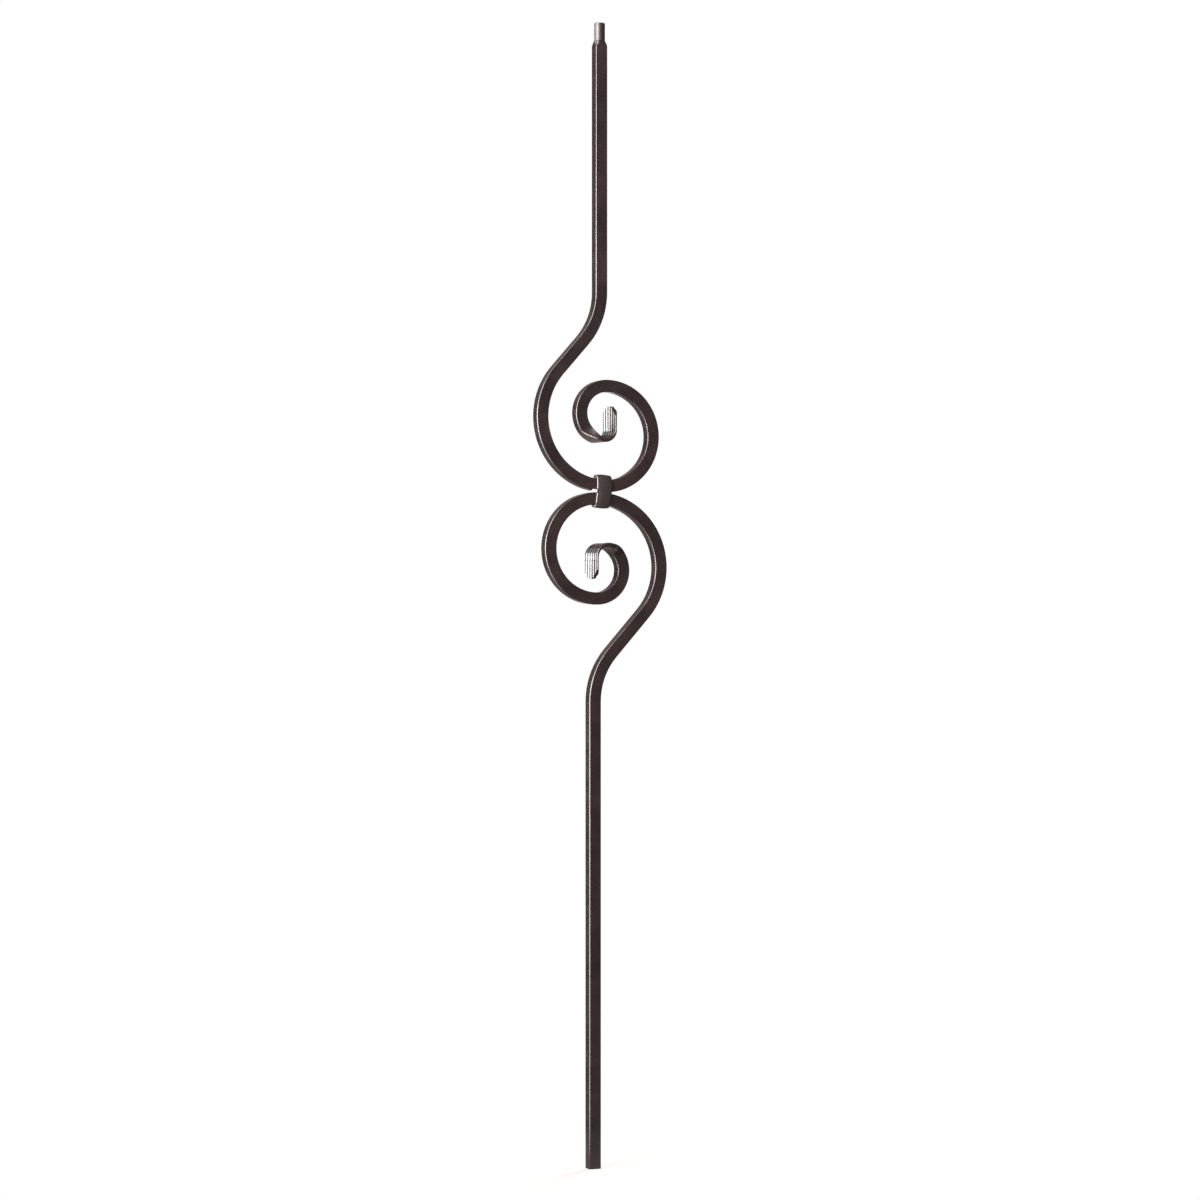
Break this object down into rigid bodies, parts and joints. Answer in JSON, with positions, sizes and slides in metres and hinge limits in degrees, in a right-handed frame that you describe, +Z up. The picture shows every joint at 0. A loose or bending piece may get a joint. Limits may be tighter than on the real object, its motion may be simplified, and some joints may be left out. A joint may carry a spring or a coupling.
{
  "type": "iron stair baluster",
  "caption": "Slender wrought-iron stair baluster: square bars end in facing scrolls with fluted fishtail tips, bound by a half-round collar, with a round dowel at the top.",
  "frame": {"origin": "centre of the lower bar's cut foot", "axes": "+Z up along the bars, scrolls in the XZ plane, front facing -Y"},
  "size_m": [0.1365, 0.033, 1.1176],
  "materials": {
    "coated_iron": "dark bronze powder coat, semi-gloss",
    "coated_collar": "dark bronze powder coat, satin",
    "coated_weld": "dark bronze powder coat, glossy"
  },
  "bodies": {
    "root": {"upper_bar": "coated_iron", "lower_bar": "coated_iron", "collar": "coated_collar", "weld_bead": "coated_weld"}
  },
  "joints": []
}
